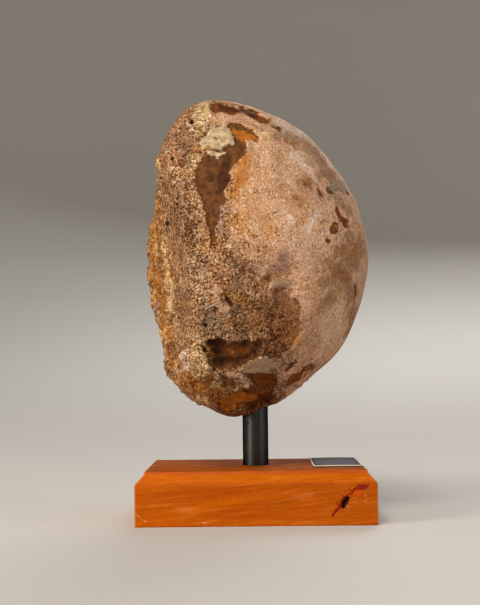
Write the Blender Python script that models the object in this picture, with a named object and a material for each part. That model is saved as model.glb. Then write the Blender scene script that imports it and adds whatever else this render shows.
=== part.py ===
"""Fossil head of a mammoth's femur, held up by a steel rod in a bevelled wooden base.

Blender 4.5, in metres, +Z up. The origin is the middle of the base's underside, -Y is the front, and
the bone's rough growth face looks towards -X.
"""

import math
from collections import namedtuple

import bmesh
import bpy
from mathutils import Vector, noise

OBJECT_NAME = "fossil_femoral_head_on_stand"

# Wooden base: a planed board with a sloping edge all round and a small upright step above the slope.
BASE_WIDTH = 0.125
BASE_DEPTH = 0.096
BASE_HEIGHT = 0.028
SLOPE_RUN = 0.0047
SLOPE_RISE = 0.0050
TOP_STEP = 0.0014
EDGE_ROUNDING = 0.0006
CORNER_ROUNDING = 0.0012

# Steel rod, sunk into a blind hole in the base and another in the bone.
ROD_DIAMETER = 0.014
ROD_FOOT = 0.008
ROD_TOP = 0.096
ROD_EDGE = 0.0006
ROUND_SIDES = 40
FIT_GAP = 0.0003

# Label lying on the base's top, near its back right corner.
LABEL_WIDTH = 0.026
LABEL_LENGTH = 0.057
LABEL_THICKNESS = 0.0011
LABEL_EDGE = 0.0007
LABEL_CENTRE_X = 0.0435
LABEL_CENTRE_Y = 0.0045

# Bone: a ball that is a little narrower from front to back, cut off by broad facets.
BALL_CENTRE = Vector((-0.0255, 0.0, 0.1410))
BALL_RADIUS = 0.0882
BONE_DEPTH = 0.166
BONE_MIDDLE = Vector((0.0, 0.0, 0.1410))
FACES_ALONG_SIDE = 26

Facet = namedtuple("Facet", "point normal softness")
FACETS = (
    # the growth face, almost flat, where the ball broke from the neck
    Facet(Vector((-0.0520, 0.0, 0.160)), Vector((-1.0, 0.0, 0.02)), 0.008),
    # the lower front of its rim, worn back
    Facet(Vector((-0.0530, -0.010, 0.115)), Vector((-0.950, -0.290, -0.12)), 0.006),
    # the back of its rim
    Facet(Vector((-0.0525, 0.012, 0.150)), Vector((-0.960, 0.260, 0.06)), 0.010),
    # broken away below and above the growth face
    Facet(Vector((-0.0313, 0.0, 0.0634)), Vector((-0.600, -0.04, -0.800)), 0.008),
    Facet(Vector((-0.0500, 0.0, 0.0860)), Vector((-0.980, 0.0, -0.180)), 0.012),
    Facet(Vector((-0.0425, 0.0, 0.2070)), Vector((-0.940, 0.0, 0.340)), 0.010),
    Facet(Vector((-0.0385, 0.0, 0.2205)), Vector((-0.620, 0.0, 0.780)), 0.008),
    # the back of the ball, worn flat
    Facet(Vector((0.0, 0.081, 0.120)), Vector((0.10, 1.0, -0.15)), 0.012),
)

Lump = namedtuple("Lump", "centre radius height")
LUMPS = (
    # broad flats worn on the ball's outline
    Lump(Vector((0.044, 0.0, 0.192)), 0.026, -0.0024),
    Lump(Vector((0.028, 0.0, 0.073)), 0.014, -0.0022),
    Lump(Vector((-0.002, 0.0, 0.227)), 0.034, -0.0021),
    # the growth face swells out in its middle, in three knobs
    Lump(Vector((-0.055, -0.006, 0.143)), 0.020, 0.0050),
    Lump(Vector((-0.054, -0.014, 0.122)), 0.016, 0.0026),
    Lump(Vector((-0.052, 0.030, 0.132)), 0.022, 0.0036),
    Lump(Vector((-0.050, -0.018, 0.098)), 0.012, 0.0016),
    Lump(Vector((-0.050, 0.026, 0.178)), 0.016, -0.0030),
    Lump(Vector((-0.050, 0.008, 0.104)), 0.014, -0.0026),
    # notches where the growth face's rim has chipped
    Lump(Vector((-0.052, -0.030, 0.172)), 0.009, -0.0016),
    Lump(Vector((-0.047, -0.034, 0.209)), 0.008, -0.0016),
    Lump(Vector((-0.040, 0.052, 0.108)), 0.014, -0.0040),
    # crags low on the front, and the hollows between them
    Lump(Vector((-0.028, -0.058, 0.082)), 0.010, 0.0028),
    Lump(Vector((-0.006, -0.058, 0.074)), 0.010, 0.0018),
    Lump(Vector((0.016, -0.056, 0.078)), 0.008, -0.0016),
    Lump(Vector((0.024, -0.034, 0.070)), 0.009, 0.0020),
    # the low knob in the middle of the front
    Lump(Vector((0.014, -0.076, 0.141)), 0.008, 0.0016),
    # the curled knob left of it
    Lump(Vector((-0.018, -0.080, 0.118)), 0.008, 0.0016),
    # flat scars on the back of the ball
    Lump(Vector((0.006, 0.080, 0.172)), 0.022, -0.0026),
    Lump(Vector((-0.028, 0.070, 0.190)), 0.016, 0.0020),
    Lump(Vector((0.030, 0.058, 0.100)), 0.018, -0.0024),
)

# Sunken patches where the outer crust has flaked off, with a ledge round each that wanders a little.
HOLLOW_WAVE = 0.011
HOLLOW_WANDER = 0.006
Hollow = namedtuple("Hollow", "centre radius depth edge")
HOLLOWS = (
    Hollow(Vector((0.010, -0.076, 0.116)), 0.0150, 0.0022, 0.0045),
    Hollow(Vector((0.010, -0.072, 0.098)), 0.0140, 0.0018, 0.0045),
    Hollow(Vector((-0.016, -0.072, 0.093)), 0.0120, 0.0024, 0.0040),
    Hollow(Vector((-0.022, -0.074, 0.180)), 0.0120, 0.0012, 0.0040),
    Hollow(Vector((0.030, 0.056, 0.158)), 0.0190, 0.0018, 0.0050),
    Hollow(Vector((-0.006, 0.074, 0.108)), 0.0160, 0.0020, 0.0050),
)

# Unevenness: broad and faint on the ball, closer and deeper where more than this much of it is gone.
BALL_WAVE = 0.034
BALL_WAVE_HEIGHT = 0.0011
FACE_WAVE = 0.0135
FACE_WAVE_HEIGHT = 0.0034
BREAK_STARTS_AT = 0.0015
BREAK_FULL_AT = 0.0100

# Colours are linear RGB.
WOOD_COLOUR = (0.26, 0.075, 0.012)
STEEL_COLOUR = (0.012, 0.011, 0.011)
BONE_COLOUR = (0.36, 0.20, 0.105)
LABEL_COLOUR = (0.50, 0.48, 0.46)


def material(name, colour, roughness, metallic=0.0):
    """A plain finish for one sub-part."""
    finish = bpy.data.materials.new(name)
    finish.use_nodes = True
    shader = finish.node_tree.nodes["Principled BSDF"]
    shader.inputs["Base Color"].default_value = (*colour, 1.0)
    shader.inputs["Roughness"].default_value = roughness
    shader.inputs["Metallic"].default_value = metallic
    return finish


def new_collection(name):
    group = bpy.data.collections.new(name)
    bpy.context.scene.collection.children.link(group)
    return group


def add_object(name, mesh_builder, group, finish=None):
    """An object from a finished bmesh, which is freed."""
    mesh = bpy.data.meshes.new(name)
    mesh_builder.to_mesh(mesh)
    mesh_builder.free()
    obj = bpy.data.objects.new(name, mesh)
    group.objects.link(obj)
    if finish:
        mesh.materials.append(finish)
    return obj


def cylinder(diameter, bottom, top):
    """An upright closed cylinder about the Z axis."""
    shape = bmesh.new()
    bmesh.ops.create_cone(shape, cap_ends=True, segments=ROUND_SIDES,
                          radius1=diameter / 2, radius2=diameter / 2, depth=top - bottom)
    bmesh.ops.translate(shape, verts=shape.verts, vec=(0, 0, (top + bottom) / 2))
    return shape


def block(width, depth, height):
    """A box that stands on z = 0."""
    shape = bmesh.new()
    bmesh.ops.create_cube(shape, size=1.0)
    bmesh.ops.scale(shape, verts=shape.verts, vec=(width, depth, height))
    bmesh.ops.translate(shape, verts=shape.verts, vec=(0, 0, height / 2))
    return shape


def top_face(shape):
    return max(shape.faces, key=lambda face: face.calc_center_median().z)


def raise_top(shape, rise, run):
    """Extrudes the top face upwards by rise and draws it in by run on every side."""
    lower = top_face(shape)
    made = bmesh.ops.extrude_face_region(shape, geom=[lower])
    for corner in made["geom"]:
        if isinstance(corner, bmesh.types.BMVert):
            corner.co.x -= math.copysign(run, corner.co.x)
            corner.co.y -= math.copysign(run, corner.co.y)
            corner.co.z += rise
    bmesh.ops.delete(shape, geom=[lower], context="FACES_ONLY")


def round_edges(shape, edges, width, segments):
    bmesh.ops.bevel(shape, geom=edges, offset=width, segments=segments, profile=0.5,
                    affect="EDGES", material=-1)


def cut(obj, cutter, name):
    """Takes the cutter's shape out of an object."""
    cutter.hide_render = True
    cutter.display_type = "WIRE"
    boolean = obj.modifiers.new(name, "BOOLEAN")
    boolean.operation = "DIFFERENCE"
    boolean.solver = "EXACT"
    boolean.object = cutter


def build_base(group, cutters):
    """The bevelled block, with a blind hole for the rod."""
    side_height = BASE_HEIGHT - SLOPE_RISE - TOP_STEP
    shape = block(BASE_WIDTH, BASE_DEPTH, side_height)
    raise_top(shape, SLOPE_RISE, SLOPE_RUN)
    raise_top(shape, TOP_STEP, 0.0)
    upright = [edge for edge in shape.edges
               if abs(edge.verts[0].co.z - edge.verts[1].co.z) > side_height / 2]
    round_edges(shape, upright, CORNER_ROUNDING, 2)
    level = [edge for edge in shape.edges
             if abs(edge.verts[0].co.z - edge.verts[1].co.z) < 1e-6
             and edge.verts[0].co.z > side_height / 2 and edge.calc_face_angle(0) > 0.2]
    round_edges(shape, level, EDGE_ROUNDING, 2)
    base = add_object("wooden_base", shape, group, material("lacquered wood", WOOD_COLOUR, 0.35))
    hole = cylinder(ROD_DIAMETER + 2 * FIT_GAP, ROD_FOOT - FIT_GAP, BASE_HEIGHT + ROD_DIAMETER)
    cut(base, add_object("base_hole", hole, cutters), "rod hole")
    return base


def build_rod(group):
    shape = cylinder(ROD_DIAMETER, ROD_FOOT, ROD_TOP)
    rims = [edge for edge in shape.edges
            if abs(edge.verts[0].co.z - edge.verts[1].co.z) < 1e-6]
    round_edges(shape, rims, ROD_EDGE, 1)
    rod = add_object("support_rod", shape, group, material("black steel", STEEL_COLOUR, 0.3, 0.6))
    rod.data.shade_smooth()
    rod.data.set_sharp_from_angle(angle=math.radians(40))
    return rod


def build_label(group):
    """A thin plate just clear of the base's top."""
    shape = block(LABEL_WIDTH, LABEL_LENGTH, LABEL_THICKNESS)
    bmesh.ops.translate(shape, verts=shape.verts,
                        vec=(LABEL_CENTRE_X, LABEL_CENTRE_Y, BASE_HEIGHT + FIT_GAP))
    round_edges(shape, list(top_face(shape).edges), LABEL_EDGE, 2)
    return add_object("label_plate", shape, group, material("label card", LABEL_COLOUR, 0.4))


def soft_min(first, second, softness):
    """The smaller of two lengths, with the corner between them rounded."""
    blend = max(softness - abs(first - second), 0.0) / softness
    return min(first, second) - blend * blend * softness / 4


def ease(value, start, end):
    """0 at start, 1 at end, and an S-shaped curve between them."""
    share = min(max((value - start) / (end - start), 0.0), 1.0)
    return share * share * (3 - 2 * share)


def reach_to_ball(direction):
    """How far the flattened ball's surface is from the bone's middle in a direction."""
    flattening = BONE_DEPTH / (2 * BALL_RADIUS)
    way = Vector((direction.x, direction.y / flattening, direction.z))
    start = BONE_MIDDLE - BALL_CENTRE
    a = way.dot(way)
    b = way.dot(start)
    c = start.dot(start) - BALL_RADIUS ** 2
    return (math.sqrt(b * b - a * c) - b) / a


def reach_to_facet(direction, facet):
    normal = facet.normal.normalized()
    facing = direction.dot(normal)
    if facing < 0.05:
        return math.inf
    return (facet.point - BONE_MIDDLE).dot(normal) / facing


def unevenness(point, broken):
    """The bone's waves: broad and faint over the ball, close and deep where it is broken."""
    ball = noise.fractal(point / BALL_WAVE, 1.0, 2.0, 3) * BALL_WAVE_HEIGHT
    face = noise.fractal(point / FACE_WAVE, 0.9, 2.1, 3) * FACE_WAVE_HEIGHT
    return ball * (1 - broken) + face * broken


def bone_point(direction):
    """The point of the bone's surface that lies this way from its middle."""
    ball = reach_to_ball(direction)
    reach = ball
    for facet in FACETS:
        reach = soft_min(reach, reach_to_facet(direction, facet), facet.softness)
    point = BONE_MIDDLE + direction * reach
    swell = unevenness(point, ease(ball - reach, BREAK_STARTS_AT, BREAK_FULL_AT))
    for lump in LUMPS:
        swell += lump.height * math.exp(-((point - lump.centre).length / lump.radius) ** 2)
    wander = noise.noise(point / HOLLOW_WAVE) * HOLLOW_WANDER
    for hollow in HOLLOWS:
        away = (point - hollow.centre).length + wander
        swell -= hollow.depth * ease(away, hollow.radius + hollow.edge, hollow.radius)
    return point + direction * swell


def build_bone(group, cutters):
    """A cube of even squares, blown up to the bone's form, with a blind hole for the rod."""
    shape = bmesh.new()
    bmesh.ops.create_cube(shape, size=2.0)
    bmesh.ops.subdivide_edges(shape, edges=shape.edges, cuts=FACES_ALONG_SIDE - 1,
                              use_grid_fill=True)
    for vert in shape.verts:
        even = Vector(math.tan(side * math.pi / 4) for side in vert.co)
        vert.co = bone_point(even.normalized())
    bmesh.ops.triangulate(shape, faces=shape.faces, quad_method="SHORT_EDGE")
    finish = material("fossil bone", BONE_COLOUR, 0.75)
    bone = add_object("femoral_head", shape, group, finish)
    bone.data.shade_smooth()
    hole = cylinder(ROD_DIAMETER + 2 * FIT_GAP, BASE_HEIGHT + FIT_GAP, ROD_TOP + FIT_GAP)
    cut(bone, add_object("bone_hole", hole, cutters), "rod hole")
    return bone


def main():
    for obj in list(bpy.data.objects):
        bpy.data.objects.remove(obj)
    group = new_collection(OBJECT_NAME)
    cutters = new_collection("cutters")
    build_base(group, cutters)
    build_rod(group)
    build_label(group)
    build_bone(group, cutters)


main()
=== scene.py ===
"""Fossil head of a mammoth's femur on its stand: the fine surfaces and finishes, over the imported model.

It is laid out as an add-on. Run as a script, it registers its classes and makes every piece in turn.
Sizes in the property groups are in metres; the tables of marks are in millimetres.
"""

import math
from collections import namedtuple
from functools import partial
from itertools import pairwise

import bmesh
import bpy
import numpy as np
from bpy.props import FloatProperty, FloatVectorProperty, IntProperty, PointerProperty
from mathutils import Matrix, Vector, noise


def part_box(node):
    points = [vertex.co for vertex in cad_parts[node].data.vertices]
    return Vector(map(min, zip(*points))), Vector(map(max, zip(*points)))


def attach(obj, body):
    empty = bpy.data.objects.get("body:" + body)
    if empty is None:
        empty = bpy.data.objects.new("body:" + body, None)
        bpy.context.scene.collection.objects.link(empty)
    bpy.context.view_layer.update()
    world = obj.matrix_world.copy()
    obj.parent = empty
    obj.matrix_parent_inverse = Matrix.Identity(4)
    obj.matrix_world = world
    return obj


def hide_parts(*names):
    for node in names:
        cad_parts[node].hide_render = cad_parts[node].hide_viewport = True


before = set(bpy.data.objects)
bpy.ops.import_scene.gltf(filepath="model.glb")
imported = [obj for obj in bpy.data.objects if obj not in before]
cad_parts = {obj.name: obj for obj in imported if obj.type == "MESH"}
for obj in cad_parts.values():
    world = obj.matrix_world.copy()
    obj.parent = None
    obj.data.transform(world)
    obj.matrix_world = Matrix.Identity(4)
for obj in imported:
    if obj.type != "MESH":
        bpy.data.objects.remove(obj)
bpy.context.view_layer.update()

bl_info = {
    "name": "Fossil Femoral Head",
    "version": (1, 0, 0),
    "blender": (4, 5, 0),
    "location": "View3D > Sidebar > Fossil",
    "description": "Dresses a fossil femoral head on a rod and a wooden base",
    "category": "Object",
}

MM = 0.001
# metres: corners closer than this are the same
TOUCHING = 1e-6
BASE_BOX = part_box("wooden_base")
ROD_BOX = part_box("support_rod")
LABEL_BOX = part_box("label_plate")
# millimetres: how far outside the marks a point counts that no mark can be near
FAR = 40.0


def linear(hex_colour):
    """A colour given as sRGB hex, as linear red, green and blue."""
    parts = [int(hex_colour[start:start + 2], 16) / 255 for start in (0, 2, 4)]
    return tuple(part / 12.92 if part <= 0.04045 else ((part + 0.055) / 1.055) ** 2.4 for part in parts)


# Places on the bone are read from four sides: how far across, how high and how wide, in millimetres,
# on the upright plane through the rod, as seen from that side's eye. deep is the axis it looks along.
Side = namedtuple("Side", "eye across deep")
FRONT, BACK, GROWTH, BALL = "front", "back", "growth", "ball"
SIDES = {
    FRONT: Side((0.64, -744.6, 84.0), (1, 0, 0), 1),
    BACK: Side((0.0, 745.0, 120.0), (1, 0, 0), 1),
    GROWTH: Side((-745.0, 0.0, 141.0), (0, 1, 0), 0),
    BALL: Side((745.0, 0.0, 141.0), (0, 1, 0), 0),
}

# What covers or stains the bone, from the lowest layer up. The edge is ragged by so many millimetres
# and fades over so many; dark and light are the colours it mottles between; cover is how much it hides.
# Each mark is a stroke from one side's view: a run of across, height and half width, point after point.
Layer = namedtuple("Layer", "name dark light cover ragged fade marks")
STAINS = (
    Layer("ochre", "905a20", "c68c40", 0.55, 3.5, 3, {
        FRONT: [
            (-6, 199, 2, -5.5, 192, 3, -6.5, 185, 2.5, -11, 176, 1.5), (-10.5, 162.9, 2.5, -5.5, 159.6, 3),
            (-15, 121, 2, -6, 119, 3), (22, 102, 2, 22.5, 96, 2), (9, 163, 1.5, 8, 155, 1.5), (36, 127, 3),
            (-55, 160, 1.5, -56, 140, 2.5, -52, 118, 2, -47, 100, 3), (-38, 76, 3, -26, 68, 4, -18, 62, 3)],
        BACK: [(-16, 150, 4, -18, 136, 3)],
        GROWTH: [(-40, 150, 4, -44, 130, 4), (10, 92, 5, 26, 100, 4), (30, 196, 5, 40, 182, 3)],
    }),
    # strong yellow iron stain
    Layer("saffron", "864a12", "b06c24", 0.7, 4, 2.6, {
        FRONT: [
            (-3.6, 199, 2, -4.4, 191, 3.8, -7.5, 182, 2.8, -10, 175, 1), (14, 201, 0.4, 16, 180, 0.4),
            (-30, 203, 0.8, -31, 199, 1), (-50.5, 209, 1.5), (-47.5, 138, 0.8, -48, 128, 1.8, -46, 120, 1),
            (-33.5, 93, 1.6, -30, 89, 1.2), (-36, 78, 2, -28, 73, 4, -20, 69, 3.5, -17, 66, 1.5),
            (-38, 74, 2, -30, 67, 2.6), (-52.5, 176, 0.6, -52.5, 160, 0.8)],
        BACK: [(-10, 190, 2, -18, 176, 3)],
        GROWTH: [(-30, 130, 3, -36, 112, 3), (20, 160, 4, 12, 148, 3)],
    }),
    Layer("cream", "ae8a56", "e4ca98", 0.72, 2.6, 1.2, {
        FRONT: [
            (-26.5, 227, 3, -28, 220, 4.5, -28.5, 214, 3, -30, 209, 1),
            (-35, 197, 1.5, -31, 197, 2.5, -33, 192.5, 1.5),
            (-49, 147, 1, -48.6, 141, 1.6, -47.6, 137, 0.8),
            (-46.5, 128, 2.6, -45.5, 122, 2.2, -45.5, 113, 1.2),
            (-31.5, 96, 2, -31, 90, 3.5, -29.5, 84, 3.5, -28, 80, 2), (-28, 168, 0.8, -28, 165, 0.8),
            (-33, 82, 3.4, -30, 77, 2.4), (-24, 71.5, 1.2, -19.5, 71, 1), (-30, 66, 1.6, -26, 62, 1.2),
            (-10, 74, 1.6, -7, 69.5, 1.2), (5.5, 209, 1.6, 9, 208, 1.8)],
        BACK: [(24, 216, 3, 28, 200, 3)],
        GROWTH: [(-52, 148, 2, -50, 120, 2.5, -44, 98, 2), (0, 190, 4, 20, 186, 3)],
    }),
    # pale faded patches; on the front, the broad patch right of the middle is painted light, where the lamps
    # fall brightest
    Layer("faded", "c49c7a", "dab694", 0.5, 6, 3, {
        FRONT: [
            (10, 172, 4, 20, 160, 7, 26, 150, 6, 30, 138, 3), (40, 100, 5, 46, 112, 3),
            (-31, 133, 3, -28, 125, 4, -24, 115, 2.5)],
        BACK: [(24, 130, 9)],
        BALL: [(-10, 150, 8, 4, 140, 8)],
    }),
    # pale bleached patches, with one painted glint
    Layer("bleached_and_glint", "b8967c", "e6ccb6", 0.74, 2.4, 0.8, {
        FRONT: [
            (22, 198.5, 1.5, 24, 195.8, 2.2, 28.5, 192, 1.6, 32.5, 188.5, 1.8, 35, 185, 0.9),
            (27, 200, 0.7, 33, 196.4, 0.7, 36, 191.5, 0.6),
            (34, 206, 0.8, 40, 198, 0.8, 45, 191, 0.8, 50, 184.5, 0.7), (53, 134, 1.2, 56, 132, 1.4),
            (20, 164, 1.5, 22, 161, 1.5), (36, 165, 1.5, 31, 158, 2),
            # the spot at -47 across and 110 high is a painted glint
            (-38, 90, 1.6, -37, 85, 1.8, -38.5, 80.5, 1), (-47, 110, 1.5),
            (-35, 215.5, 1, -33.5, 212.5, 0.8), (14, 216.5, 1.5, 28, 208, 1.5, 42, 194, 1),
            (-18.2, 172.5, 0.8, -17.6, 166, 0.8)],
        BALL: [(-30, 190, 3, -16, 200, 4)],
    }),
    # worn through to the tan layer under the crust
    Layer("tan", "6c482c", "98704a", 0.62, 4.4, 0.9, {
        FRONT: [
            (12, 209, 1.6, 20, 207.5, 3, 28, 205.5, 3, 34, 199, 3, 38.5, 193, 3, 42, 187, 2.5),
            (45, 174, 2, 53, 166, 2.2), (37, 127, 3, 46, 129, 4, 54, 123, 4), (43, 119, 4, 36, 112, 2),
            (24.5, 172.5, 2)],
        BACK: [(-36, 178, 4, -20, 160, 5), (44, 150, 3, 50, 138, 5, 48, 126, 3)],
        BALL: [
            (-50, 130, 6, -44, 150, 4), (34, 160, 2, 42, 148, 4, 46, 130, 5, 40, 116, 2),
            (-20, 96, 3, 0, 104, 5, 10, 100, 3)],
    }),
    # umber stain; its broad bands low round the bone are partly painted shade, where less light reaches the
    # underside
    Layer("umber_and_shade", "6a3a18", "96602f", 0.6, 4.4, 0.9, {
        FRONT: [
            (-6, 227, 1, -18, 228, 1.5), (59, 153, 1.5, 58, 146, 3.5, 57, 140, 2.5, 55.5, 134, 2),
            (41, 138, 2.5, 45, 134, 3, 50, 130.5, 2.5, 54, 128, 1.5), (44, 143, 2, 49, 145, 2.5),
            (53, 118, 2.5), (38.5, 187, 2.6, 43.5, 186.5, 3.4),
            (27.5, 184, 1.6, 30.5, 182.5, 3.2, 32, 179, 1), (24.2, 174, 1.4, 26.2, 171.5, 1.2),
            (18, 206.5, 2, 24, 202.8, 1.6), (30, 205, 1.2, 35, 200, 1.8, 39, 194, 1.8),
            (-12, 77, 1.2, -10.6, 73, 2.2, -15, 69, 1.8), (36, 179, 1, 37.5, 175.5, 0.8),
            (22, 76, 1.5, 28, 79.5, 2, 33, 82.5, 1.2), (14, 66, 2, 6, 59, 3, -14, 56, 4, -24, 64, 1.5),
            (3, 124, 3, 7, 130, 3, 12, 133.4, 3.4, 18, 133.8, 2.6), (-8, 100, 3, 2, 104, 5, 6, 114, 4),
            (-21, 149, 1.2, -19, 158, 1.2, -24, 146, 1.2),
            (-51.4, 168, 0.8, -52.2, 152, 1.2, -51.4, 138, 0.8),
            (-5, 204, 1.4, -8.5, 198, 1.8, -12, 189, 1.8, -14.5, 180, 1.6, -18, 170, 0.9),
            (-6, 96, 1.5, 3, 95.5, 2.6, 8, 90.5, 2.4), (-31, 191, 1.2, -31, 182, 1),
            (-55, 150, 0.9, -54.6, 132, 1.1, -51, 118, 0.9), (-49, 124, 0.8, -48, 112, 1.2, -46, 102, 0.8),
            (-15.2, 160, 0.9, -15.2, 152, 0.7)],
        BACK: [(44, 180, 3, 50, 168, 3), (-20, 80, 6, 10, 70, 8, 30, 84, 6)],
        GROWTH: [(-40, 90, 6, 0, 72, 8, 40, 92, 6)],
        BALL: [(-30, 110, 4, -16, 100, 5)],
    }),
    # painted shade: soft dark grey-brown patches over the spongy bone and the growth face
    Layer("shade_patch", "3c2716", "644630", 0.46, 5, 5, {
        FRONT: [
            (-46, 186, 2.5, -43, 178, 4), (-42.9, 173.9, 4, -39.2, 160, 7, -36, 148.9, 6),
            (-40, 206, 5, -34, 204, 3, -38, 199, 2), (-39, 120, 4, -38, 112, 3), (-25.5, 104.6, 2.5)],
        GROWTH: [(6, 150, 8, -8, 130, 7)],
    }),
    Layer("silt", "786650", "a08c70", 0.45, 4, 3, {
        FRONT: [
            (14, 196, 2, 15, 182, 2), (30, 199.5, 1, 36, 196, 1.6, 39, 190, 1.6, 38, 185, 1),
            (10, 216.5, 1.2, 22, 210, 2), (-27, 118, 3, -24, 106, 5, -16, 101, 3, -4, 99.5, 2),
            (-30, 134, 5)],
        BALL: [(-4, 198, 4, 14, 194, 5)],
    }),
    # sandy patches that lie lower than the crust round them
    Layer("sunken", "643a1c", "8a5830", 0.78, 2, 0.7, {
        FRONT: [(8, 130, 2.4), (15.5, 119.5, 4.5, 17.5, 113, 8, 17, 104, 9, 14, 96, 7.5, 10, 91, 4)],
        BACK: [(-20, 132, 4, -12, 120, 8, -2, 108, 7, 6, 104, 3), (12, 118, 3)],
    }),
    Layer("olive", "685c44", "8a7a5e", 0.75, 1.6, 0.6, {
        FRONT: [(42.5, 179, 2, 46, 181, 3.8, 50, 179.5, 2.6)],
        BALL: [(30, 176, 2.5, 36, 168, 3.5)],
    }),
    # purple-grey manganese skin
    Layer("plum", "6e4a44", "a48478", 0.7, 3, 0.9, {
        FRONT: [
            (16.5, 141, 3.6, 19, 137, 2), (9, 137, 1.6, 14, 134.5, 2), (17.5, 71.5, 1.2, 21, 72, 1.8),
            (34, 81, 1.5, 40, 83.5, 1.2), (-17.5, 174, 1.5, -17.5, 165, 1.5, -18, 155, 1)],
        BACK: [(-2, 138, 2, 2, 130, 3)],
        GROWTH: [(-26, 118, 2, -20, 108, 3), (30, 170, 2, 36, 160, 3)],
    }),
)
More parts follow.
